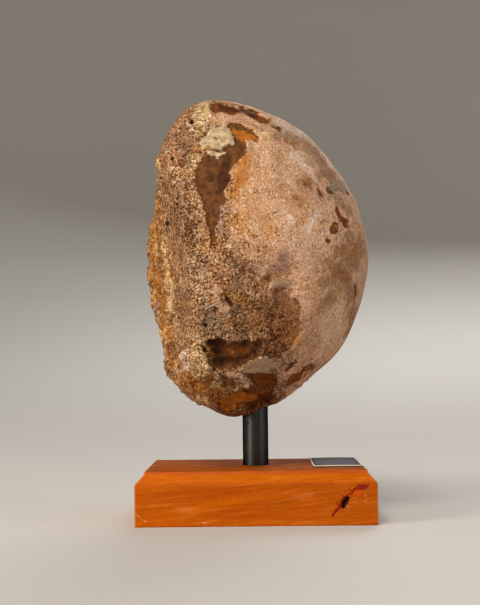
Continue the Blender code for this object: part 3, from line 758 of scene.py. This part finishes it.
def bone_material():
    """Weathered fossil bone, mineralised to stone: coarse and dry like sandpaper where it is spongy,
    finer on the bearing surface, and with an agate-like polish in the brown windows."""
    finish, node = new_material("weathered_fossil_bone")
    place = node("place")
    zones = ("crust", "growth", "craggy", "everywhere")
    read = {name: node("attribute", attribute_name=name)
            for name in (*(layer.name for layer in LAYERS), *zones)}
    colour = node("colours", attribute_name="tone")

    # washes of iron, clay and lime, each from 2 to 46 mm across
    for order, wash in enumerate(WASHES):
        shifted = node("shift", place, (0.11 * order, 0.07, 0.05 * order))
        cloud = node("noise", shifted, 1 / (wash.width * MM), 5, 0.62, 0.4)
        share = node("ease", cloud, wash.start, wash.end, 0, wash.strength)
        colour = node("blend", node("multiply", share, read[wash.zone]), colour, wash.colour)

    # what makes every edge ragged and every patch mottled, 3 mm across
    rag = node("noise", place, 1 / (3.0 * MM), 5, 0.65)
    mottle = node("range", rag, 0.32, 0.68)
    shares = {}
    for layer in LAYERS:
        edge = node("multiply_add", rag, RAG_STRETCH * layer.ragged, read[layer.name])
        middle = RAG_STRETCH * layer.ragged / 2
        shares[layer.name] = node("ease", edge, middle - layer.fade, middle + layer.fade, 0, layer.cover)

    def cover_with(layers, colour):
        for layer in layers:
            mottled = node("blend", mottle, layer.dark, layer.light)
            colour = node("blend", shares[layer.name], colour, mottled)
        return colour

    colour = cover_with(STAINS, colour)

    # pores and knobs 1.4 mm apart, crowded in clumps 6 mm across: many and deep on spongy bone, few on
    # the crust
    sponge = node("noise", place, 1 / (1.4 * MM), 2, 0.65)
    mouth = node("range", read["crust"], 0, 1, 0.49, 0.38)
    crowded = node("range", node("noise", place, 1 / (6.0 * MM), 1), 0.35, 0.65, -0.07, 0.06)
    fewer = node("multiply_add", read["growth"], -0.05, crowded)
    pore = node("ease", node("subtract", node("add", mouth, fewer), sponge), 0, 0.13)
    # sand-like grain 0.9 mm across, as coarse as it has to be to show; its hollows are painted darker and
    # its tips lighter, as shade and light
    grain = node("noise", place, 1 / (0.9 * MM), 1, 0.6)
    grit_and_shading = node("blend", node("range", grain, 0.34, 0.66), *GRAIN_SHADES)
    strength = node("range", read["crust"], 0, 1, 1, 0.44)
    calm = node("range", node("maximum", read["growth"], read["craggy"]), 0, 1, 1, 0.50)
    sandy = node("blend", node("multiply", strength, calm), colour, node("tint", 1, colour, grit_and_shading))
    # painted shade in the pores
    shaded = node("tint", 1, sandy, PORE_SHADE)
    colour = node("blend", node("multiply", pore, PORE_STRENGTH), sandy, shaded)
    colour = cover_with(SCALES, colour)

    polish = node("subtract", shares["window_and_shadow"], shares["chalk"], use_clamp=True)
    matt = node("range", read["crust"], 0, 1, 0.90, 0.72)
    # dust lies on what faces up, and dulls the polish there
    dusted = node("range", node("Z", node("normal")), 0.45, 0.80, 0.42, 0.95)
    roughness = node("mix", polish, matt, dusted)

    # relief: pores 0.7 mm deep, grain 0.15 mm high, and the crust's broken edge round each window, 0.4 mm
    rough_height = node("range", read["crust"], 0, 1, 1, 0.50)
    hidden = node("add", polish, node("add", shares["chalk"], shares["ash"]), use_clamp=True)
    worn = node("multiply", rough_height, node("range", hidden, 0, 1, 1, 0.12))
    knobbly = node("multiply_add", pore, PORE_RELIEF, sponge)
    height = node("multiply", node("multiply_add", grain, GRAIN_RELIEF, knobbly), worn)
    height = node("multiply_add", polish, WINDOW_RELIEF, height)
    height = node("multiply_add", shares["chalk"], CHALK_RELIEF, height)
    relief = node("bump", 1, RELIEF_DEPTH, height)
    node("output", node("surface", colour, roughness, 0.07, relief))
    return finish


# ---------------------------------------------------------------- the stand

# Marks on the base's front, as strokes of x, height and half width in millimetres.
Blemish = namedtuple("Blemish", "name colour cover fade strokes")
BLEMISHES = (
    Blemish("grain_line", "8c3a06", 0.5, 0.3, [
        (-62, 16.6, 0.3, -50, 17.6, 0.4, -40, 18.8, 0.2),
        (-41.7, 20.3, 0.3, -34, 19.2, 0.5, -27.9, 17.8, 0.2),
        (-32, 15.2, 0.2, -24, 14.6, 0.4, -15.7, 13.7, 0.2),
        (-46, 17, 0.3, -30, 18.6, 0.3, -12, 20, 0.4, 1, 20.8, 0.2),
        (-61, 12, 0.2, -30, 13, 0.3, 0, 15, 0.2, 30, 15.8, 0.2), (-20, 8, 0.2, 10, 9.5, 0.3, 34, 9, 0.2),
        (-60, 5, 0.2, -30, 5.5, 0.2, -4, 4.4, 0.2), (4, 3.6, 0.2, 30, 4.6, 0.3, 60, 4, 0.2),
        (35.4, 10.3, 0.25, 38.8, 10.5, 0.15)]),
    Blemish("bruise", "c46c3c", 0.3, 1.4, [
        (50.2, 14, 0.2, 50.8, 11.5, 0.4), (47.6, 9.5, 0.3, 46.8, 7, 0.1), (-40, 9.5, 1, -34, 9, 1.5),
        (20, 15, 0.8, 28, 16, 1)]),
    Blemish("scuff", "d49068", 0.45, 0.3, [
        (55.8, 15.6, 0.15, 56.6, 13.4, 0.2, 55.2, 12, 0.1),
        (-62.4, 8.1, 0.15, -60, 5.5, 0.25, -56.4, 2.9, 0.15), (-27.2, 1.9, 0.45, -25.4, 2.2, 0.3),
        (-10.4, 2.4, 0.4), (52, 19.8, 0.25, 56, 20.2, 0.25)]),
    Blemish("resin", "b84008", 0.7, 0.6, [
        (51, 17, 0.9, 52.6, 15.9, 1.1), (47.6, 17.6, 0.5, 49.6, 18, 0.6), (36, 2, 0.8)]),
    Blemish("bark", "741004", 0.92, 0.22, [
        (39, 5.2, 0.5, 40.4, 7, 0.7, 42.2, 9, 0.8, 43.6, 11, 1.2, 45, 13.4, 1.3, 46.8, 15.2, 0.6,
         49.1, 17.1, 0.4, 51.3, 19, 0.7, 53.5, 20.4, 0.9, 55.4, 21, 0.8, 57.4, 21.2, 0.5, 58.8, 20.9, 0.3),
        (52, 18.6, 0.5, 55, 19.2, 1.3, 57.6, 20.6, 0.7), (46.4, 14.6, 0.4, 47, 16.6, 0.2),
        (42, 10.8, 0.4, 40.8, 11.6, 0.2), (42.6, 12.4, 0.4, 44, 11.8, 0.4),
        (42.4, 15.8, 0.2, 45, 14.9, 0.3), (47.6, 18.8, 0.3, 48.8, 17.4, 0.3), (49, 15.6, 0.45)]),
    # painted shade: the pressed hole is coloured near-black
    Blemish("hole", "1c0c04", 1, 0.25, [
        (44.5, 9.8, 1, 45.6, 11.9, 1.5, 47, 14, 0.9), (49, 15.6, 0.25)]),
)
# How many cuts the front's fine grid has across and up, and how deep the bark pocket and the hole are
# pressed into it, in millimetres.
FRONT_GRID = (227, 37)
BARK_DEPTH, HOLE_DEPTH = 0.35, 1.8


def raise_top(shape, rise, run):
    """Extrudes the top face upwards and draws it in on every side."""
    lower = max(shape.faces, key=lambda face: face.calc_center_median().z)
    made = bmesh.ops.extrude_face_region(shape, geom=[lower])
    for corner in made["geom"]:
        if isinstance(corner, bmesh.types.BMVert):
            corner.co.x -= math.copysign(run, corner.co.x)
            corner.co.y -= math.copysign(run, corner.co.y)
            corner.co.z += rise
    bmesh.ops.delete(shape, geom=[lower], context="FACES_ONLY")


def bevel_edges(shape, edges, offset, segments):
    bmesh.ops.bevel(shape, geom=edges, offset=offset, segments=segments, profile=0.5, affect="EDGES",
                    material=-1)


def build_base(settings):
    """The bevelled block, sanded along its edges, with a bark pocket sunk into its front."""
    low, high = BASE_BOX
    width, depth, height = high - low
    side = height - settings.slope_rise - settings.top_step
    shape = bmesh.new()
    bmesh.ops.create_cube(shape, size=1.0)
    bmesh.ops.scale(shape, verts=shape.verts, vec=(width, depth, side))
    bmesh.ops.translate(shape, verts=shape.verts, vec=(low + high) * 0.5 * Vector((1, 1, 0)))
    bmesh.ops.translate(shape, verts=shape.verts, vec=(0, 0, low.z + side / 2))
    raise_top(shape, settings.slope_rise, settings.slope_run)
    raise_top(shape, settings.top_step, 0.0)
    sharp = [edge for edge in shape.edges if edge.calc_face_angle(0) > 0.3]
    bevel_edges(shape, sharp, settings.edge_rounding, 3)

    # the front is cut into a fine grid, which carries the blemishes
    rim = settings.edge_rounding * 1.2
    for place, axis in ((low.x + rim, 0), (high.x - rim, 0), (rim, 2), (side - rim * 0.5, 2)):
        cut_across(shape, axis, place)
    middle = Vector(((low.x + high.x) / 2, low.y, side / 2))
    panel = min(shape.faces, key=lambda face: (face.calc_center_median() - middle).length)

    def runs_along(edge, axis):
        """Whether the edge is square to this axis."""
        return abs(edge.verts[0].co[axis] - edge.verts[1].co[axis]) < TOUCHING

    level = [edge for edge in panel.edges if runs_along(edge, 2)]
    cut = bmesh.ops.subdivide_edges(shape, edges=level, cuts=FRONT_GRID[0], use_grid_fill=True)
    upright = {edge for edge in cut["geom_inner"] if isinstance(edge, bmesh.types.BMEdge)}
    upright |= {edge for edge in shape.edges if runs_along(edge, 0)
                and (edge.verts[0].co + edge.verts[1].co).y / 2 < low.y + TOUCHING
                and edge.calc_length() > side * 0.8 and abs(edge.verts[0].co.x) < high.x - rim * 0.9}
    bmesh.ops.subdivide_edges(shape, edges=list(upright), cuts=FRONT_GRID[1], use_grid_fill=True)

    points = np.array([(vert.co.x, vert.co.z) for vert in shape.verts]) / MM
    front = np.array([vert.co.y < low.y + TOUCHING for vert in shape.verts])
    depth = {mark.name: np.where(front, depth_in_strokes(points, mark.strokes), -FAR) for mark in BLEMISHES}
    for vert, bark, hole in zip(shape.verts, ease(depth["bark"], -0.2, 0.5), ease(depth["hole"], -0.2, 0.8)):
        vert.co.y += (BARK_DEPTH * bark + HOLE_DEPTH * hole) * MM
    piece = finish_piece("base_block", shape, wood_material(settings), "wooden_base", 50)
    for name, values in depth.items():
        write_attribute(piece.data, name, np.clip(values, -KEPT_DEPTH, KEPT_DEPTH))


def inset_from(node, place, centre, half_size):
    """How far in from the sides a point lies, along X and along Y."""
    insets = []
    for axis, middle, half in zip("XY", centre, half_size):
        distance = node("absolute", node("subtract", node(axis, place), middle))
        insets.append(node("subtract", half, distance))
    return insets


def wood_material(settings):
    """Cherry-coloured heartwood, planed, sanded and lacquered: fine fibres along its length, slow
    changes of colour between them, and a satin skin, with light and shade painted in: paler corners as
    highlights, a darker top, right end and step."""
    finish, node = new_material("lacquered_heartwood")
    place = node("place")
    # the board was sawn a little off the grain, so its figure climbs slowly to the right
    along = node("turn", place, (0, math.radians(6), math.radians(2)))
    # bands 100 mm long and 7 mm high, fibres 25 mm long and 1 mm high, flecks 3 mm long, streaks 30 mm long
    band, fibre, fleck, streak = (
        node("noise", node("stretch", along, scale), 1, detail, 0.6, 0.3)
        for scale, detail in (((10, 90, 140), 2), ((40, 800, 1000), 3), ((320, 1800, 2200), 2),
                              ((32, 420, 440), 3)))
    red, green, blue = settings.wood_colour
    body = node("blend", node("range", band, 0.30, 0.70), (red * 0.84, green * 0.72, blue, 1),
                (red * 1.08, green * 1.16, blue, 1))
    # painted shade: darker towards the right end, away from the light
    body = node("blend", node("range", node("X", place), -0.01, 0.06, 0, 0.32), body, "7e3804")
    # painted light and shade along the edge: a darker, redder line where the slope meets the front, the
    # slope paler above it as if lit, and the step above darker and redder
    height = node("Z", place)
    step = BASE_BOX[1].z - settings.top_step
    slope = step - settings.slope_rise
    for start, end, tone, cover in ((slope - 0.5 * MM, slope + 0.1 * MM, "a04406", 0.55),
                                    (slope + 0.3 * MM, slope + 0.9 * MM, "b65c04", 0.55),
                                    (step - 0.6 * MM, step, "a04610", 0.80)):
        body = node("blend", node("range", height, start, end, 0, cover), body, tone)
    # a few pale streaks along the grain
    body = node("blend", node("ease", streak, 0.52, 0.70, 0, 0.20), body, "dc8626")
    # the top is painted browner and darker, as shade, and its figure is stronger; dust and handling leave it
    # duller
    upward = node("range", node("Z", node("normal")), 0.85, 0.99)
    shaded_top = node("blend", node("range", fibre, 0.35, 0.62), "6a2e02", "a85406")
    colour = node("blend", upward, body, shaded_top)
    colour = node("tint", 1, colour, node("range", fibre, 0.30, 0.70, 0.86, 1.12))
    colour = node("tint", 1, colour, node("range", fleck, 0.32, 0.68, 0.90, 1.10))
    # blemishes, their edges ragged by 0.5 mm
    rag = node("noise", place, 1 / (1.1 * MM), 3, 0.6)
    stretch = 2.4
    for mark in BLEMISHES:
        edge = node("multiply_add", rag, stretch, node("attribute", attribute_name=mark.name))
        share = node("ease", edge, stretch / 2 - mark.fade, stretch / 2 + mark.fade, 0, mark.cover)
        colour = node("blend", share, colour, mark.colour)
    # painted highlights on the corners, upright and along the slope
    x_inset, y_inset = inset_from(node, place, (0, 0), BASE_BOX[1][:2])
    aside = node("absolute", node("subtract", x_inset, y_inset))
    corner_highlight = node("range", aside, 0.7 * MM, 0.2 * MM, 0, 0.50)
    outer = node("range", node("maximum", x_inset, y_inset), settings.slope_run + 0.8 * MM,
                 settings.slope_run + 0.3 * MM)
    colour = node("blend", node("multiply", corner_highlight, outer), colour, "c89a78")
    satin = node("range", upward, 0, 1, 0.50, 0.90)
    node("output", node("surface", colour, satin, 0.06, node("bump", 0.25, 0.1 * MM, fibre)))
    return finish


# Crumbs of filler on the rod: the angle from the front in degrees, height and radius in millimetres.
CRUMBS = ((-64, 53.1, 0.55), (-34, 51.2, 0.50), (-28, 50.4, 0.35), (-49, 49.6, 0.50), (-54, 48.6, 0.35),
          (-8, 55.4, 0.50), (-2, 55.8, 0.35), (12, 56.8, 0.40), (70, 54.0, 0.45), (110, 51.0, 0.40),
          (150, 55.0, 0.50), (165, 52.5, 0.30), (-120, 54.0, 0.50), (-150, 50.5, 0.35))


def build_rod(settings):
    """The round rod, turned from a line about its own axis, with small chamfers and crumbs of filler."""
    low, high = ROD_BOX
    radius, chamfer = (high.x - low.x) / 2, 0.6 * MM
    shape = turn_round(((0.0, low.z), (radius - chamfer, low.z), (radius, low.z + chamfer),
                        (radius, high.z - chamfer), (radius - chamfer, high.z), (0.0, high.z)))
    crumbs = set()
    for angle, height, size in CRUMBS:
        spot = Matrix.Rotation(math.radians(angle), 4, "Z") @ Vector((0, -radius, height * MM))
        made = bmesh.ops.create_icosphere(shape, subdivisions=2, radius=size * MM,
                                          matrix=Matrix.Translation(spot))
        crumbs |= set(made["verts"])
        for vert in made["verts"]:
            vert.co += (vert.co - spot) * 0.5 * noise.noise(vert.co / (0.4 * MM))
    filler = np.array([vert in crumbs for vert in shape.verts])
    piece = finish_piece("steel_rod", shape, rod_material(settings), "support_rod", 30)
    write_attribute(piece.data, "filler", filler)


def rod_material(settings):
    """Mild steel with a thin satin black coat: soft-edged reflections and a faint drawn grain along its
    length. The crumbs of filler on it are dry and pale."""
    finish, node = new_material("black_coated_steel")
    place = node("place")
    filler = node("attribute", attribute_name="filler")
    # drawing lines 0.4 mm apart and 11 mm long
    drawn = node("noise", node("stretch", place, (2500, 2500, 90)), 1, 2)
    # a film of dust in patches 4 mm across
    dust = node("range", node("noise", place, 1 / (4.0 * MM), 4, 0.7), 0.45, 0.75, 0, 0.06)
    coat = node("blend", dust, opaque(settings.rod_colour), "8a7c6a")
    colour = node("blend", filler, coat, "b09a80")
    dry = node("multiply_add", filler, 0.6, node("range", drawn, 0, 1, 0.25, 0.34))
    metal = node("subtract", 1, filler)
    relief = node("bump", 0.1, 0.03 * MM, drawn)
    node("output", node("surface", colour, dry, None, relief, metal, (0.22, 0.20, 0.18, 1)))
    return finish


# The rounding of the label's corners and rim, and how many parts it is cut into each way so it can bend.
LABEL_CORNER, LABEL_RIM, LABEL_CUTS = 0.8 * MM, 0.3 * MM, 10


def build_label(settings):
    """A thin printed label whose middle lifts a little off the wood."""
    low, high = LABEL_BOX
    size, centre = high - low, (high + low) / 2
    crown = settings.label_crown
    shape = bmesh.new()
    bmesh.ops.create_cube(shape, size=1.0)
    bmesh.ops.scale(shape, verts=shape.verts, vec=(size.x, size.y, size.z - crown))
    bmesh.ops.translate(shape, verts=shape.verts, vec=centre - Vector((0, 0, crown / 2)))
    upright = [edge for edge in shape.edges if abs(edge.verts[0].co.z - edge.verts[1].co.z) > size.z * 0.3]
    bevel_edges(shape, upright, LABEL_CORNER, 3)
    rim = [edge for edge in shape.edges if min(vert.co.z for vert in edge.verts) > centre.z - crown / 2]
    bevel_edges(shape, rim, LABEL_RIM, 2)
    for axis in (0, 1):
        for step in range(1, LABEL_CUTS):
            cut_across(shape, axis, centre[axis] + size[axis] * (step / LABEL_CUTS - 0.5))
    for vert in shape.verts:
        across = 2 * (vert.co.x - centre.x) / size.x
        along = 2 * (vert.co.y - centre.y) / size.y
        if vert.co.z > centre.z - crown / 2:
            vert.co.z += crown * (1 - across ** 2) * (1 - 0.5 * along ** 2)
    finish_piece("card_label", shape, label_material(settings), "label_plate", 40)


def label_material(settings):
    """Printed card: a pale margin, a black rule just inside it, and a bare silver-grey field."""
    finish, node = new_material("printed_card_label")
    low, high = LABEL_BOX
    place = node("place")
    x_inset, y_inset = inset_from(node, place, ((high + low) / 2)[:2], ((high - low) / 2)[:2])
    inset = node("minimum", x_inset, y_inset)
    # paper grain 0.6 mm across
    paper = node("noise", place, 1 / (0.6 * MM))
    colour = node("blend", paper, opaque([part * 0.8 for part in settings.label_colour]),
                  opaque(settings.label_colour))
    # the rule is broader along the short ends, and the card's edge below its face is painted dark as shade
    depth = node("subtract", high.z - settings.label_crown, node("Z", place))
    for measure, start, end, band in ((x_inset, 1.9, 2.0, "101015"), (y_inset, 3.4, 3.5, "101015"),
                                      (inset, 0.8, 0.9, "b4a498"), (depth, 0.50, 0.42, "2c1a10")):
        colour = node("blend", node("range", measure, start * MM, end * MM, 1, 0), colour, band)
    node("output", node("surface", colour, 0.75, 0.05))
    return finish


# ---------------------------------------------------------------- the studio

# Softboxes: name, where each stands, its width and height in metres, how wide its grid lets the light
# spread in degrees, its power in watts, and its colour.
SOFTBOXES = (
    ("key_softbox", (-0.55, -1.78, 1.95), (0.8, 0.8), 180, 44.0, "fff6ea"),
    ("left_softbox", (-1.76, -1.39, 0.62), (0.9, 0.8), 60, 6.0, "fff6ec"),
    ("right_softbox", (1.92, -1.05, 0.62), (0.8, 0.8), 60, 1.6, "eaecff"),
    ("back_softbox", (0.55, 2.20, 1.50), (1.3, 1.3), 180, 30.0, "ffffff"),
)
LIT_POINT = Vector((0.0, 0.0, 0.14))
# The floor's radius and height in metres, from its middle outwards.
FLOOR_PROFILE = ((0.0, 0.0), (0.9, 0.0), (1.6, 0.02), (2.2, 0.09), (2.7, 0.24), (3.1, 0.50), (3.35, 0.90),
                 (3.45, 1.60))


def build_floor(settings):
    """A pale paper floor that curves up into a low wall all round."""
    finish, node = new_material("matt_floor_paper")
    cloud = node("noise", node("place"), 3, 1)
    colour = node("blend", cloud, opaque([part * 0.97 for part in settings.floor_colour]),
                  opaque(settings.floor_colour))
    node("output", node("surface", colour, 0.8, 0.1))
    shape = turn_round(FLOOR_PROFILE)
    bmesh.ops.reverse_faces(shape, faces=shape.faces)
    floor = object_from("studio_floor", shape, finish)
    curve = floor.modifiers.new("soft curve", "SUBSURF")
    curve.levels = curve.render_levels = 1


def build_lights(settings):
    for name, spot, (width, height), spread, power, tint in SOFTBOXES:
        light = bpy.data.lights.new(name, "AREA")
        light.shape, light.size, light.size_y = "RECTANGLE", width, height
        light.spread, light.energy, light.color = math.radians(spread), power, linear(tint)
        lamp = put_in_scene(name, light)
        lamp.location = spot
        lamp.rotation_euler = (LIT_POINT - Vector(spot)).to_track_quat("-Z", "Y").to_euler()
    world = bpy.data.worlds.new("studio_surround")
    world.use_nodes = True
    background = world.node_tree.nodes["Background"]
    background.inputs["Color"].default_value = opaque(linear("e6e4e0"))
    background.inputs["Strength"].default_value = settings.surround
    bpy.context.scene.world = world


def build_camera(settings):
    lens = bpy.data.cameras.new("front_camera")
    lens.lens = settings.lens
    lens.clip_start, lens.clip_end = 0.01, 50.0
    camera = put_in_scene("front_camera", lens)
    look = Matrix.Rotation(settings.turn, 4, "Z") @ Matrix.Rotation(math.pi / 2 + settings.pitch, 4, "X")
    look = look @ Matrix.Rotation(settings.roll, 4, "Z")
    camera.matrix_world = Matrix.Translation(settings.eye) @ look
    bpy.context.scene.camera = camera
    bpy.context.scene.view_settings.view_transform = "Standard"


class FOSSIL_OT_bone(bpy.types.Operator):
    """Make the fossil bone with its pores, polished windows and rough growth face"""

    bl_idname = "fossil.add_bone"
    bl_label = "Add Fossil Bone"

    def execute(self, context):
        dress_bone(context.scene.fossil_bone)
        return {"FINISHED"}


class FOSSIL_OT_base(bpy.types.Operator):
    """Make the bevelled wooden base with its bark pocket"""

    bl_idname = "fossil.add_base"
    bl_label = "Add Wooden Base"

    def execute(self, context):
        build_base(context.scene.fossil_stand)
        return {"FINISHED"}


class FOSSIL_OT_rod(bpy.types.Operator):
    """Make the black steel rod"""

    bl_idname = "fossil.add_rod"
    bl_label = "Add Steel Rod"

    def execute(self, context):
        build_rod(context.scene.fossil_stand)
        return {"FINISHED"}


class FOSSIL_OT_label(bpy.types.Operator):
    """Make the bare printed label on the base"""

    bl_idname = "fossil.add_label"
    bl_label = "Add Label"

    def execute(self, context):
        build_label(context.scene.fossil_stand)
        return {"FINISHED"}


class FOSSIL_OT_stage(bpy.types.Operator):
    """Set up the floor, the softboxes and the camera"""

    bl_idname = "fossil.add_stage"
    bl_label = "Add Studio"

    def execute(self, context):
        for build in (build_floor, build_lights, build_camera):
            build(context.scene.fossil_studio)
        return {"FINISHED"}


class FOSSIL_PT_panel(bpy.types.Panel):
    """Buttons for the fossil, its stand and the studio"""

    bl_idname = "FOSSIL_PT_panel"
    bl_label = "Fossil Femoral Head"
    bl_space_type = "VIEW_3D"
    bl_region_type = "UI"
    bl_category = "Fossil"

    def draw(self, context):
        for settings, operators in PANEL_ROWS:
            box = self.layout.box()
            group = getattr(context.scene, settings)
            for name in group.bl_rna.properties.keys():
                if name not in {"rna_type", "name"}:
                    box.prop(group, name)
            for operator in operators:
                box.operator(operator.bl_idname)


PANEL_ROWS = (
    ("fossil_bone", (FOSSIL_OT_bone,)),
    ("fossil_stand", (FOSSIL_OT_base, FOSSIL_OT_rod, FOSSIL_OT_label)),
    ("fossil_studio", (FOSSIL_OT_stage,)),
)
GROUPS = {"fossil_bone": BoneSettings, "fossil_stand": StandSettings, "fossil_studio": StudioSettings}
CLASSES = (*GROUPS.values(), FOSSIL_OT_bone, FOSSIL_OT_base, FOSSIL_OT_rod, FOSSIL_OT_label,
           FOSSIL_OT_stage, FOSSIL_PT_panel)


def register():
    for cls in CLASSES:
        bpy.utils.register_class(cls)
    for name, group in GROUPS.items():
        setattr(bpy.types.Scene, name, PointerProperty(type=group))


def unregister():
    for name in GROUPS:
        delattr(bpy.types.Scene, name)
    for cls in reversed(CLASSES):
        bpy.utils.unregister_class(cls)


def main():
    register()
    bpy.ops.fossil.add_stage()
    bpy.ops.fossil.add_bone()
    bpy.ops.fossil.add_base()
    bpy.ops.fossil.add_rod()
    bpy.ops.fossil.add_label()


if __name__ == "__main__":
    main()
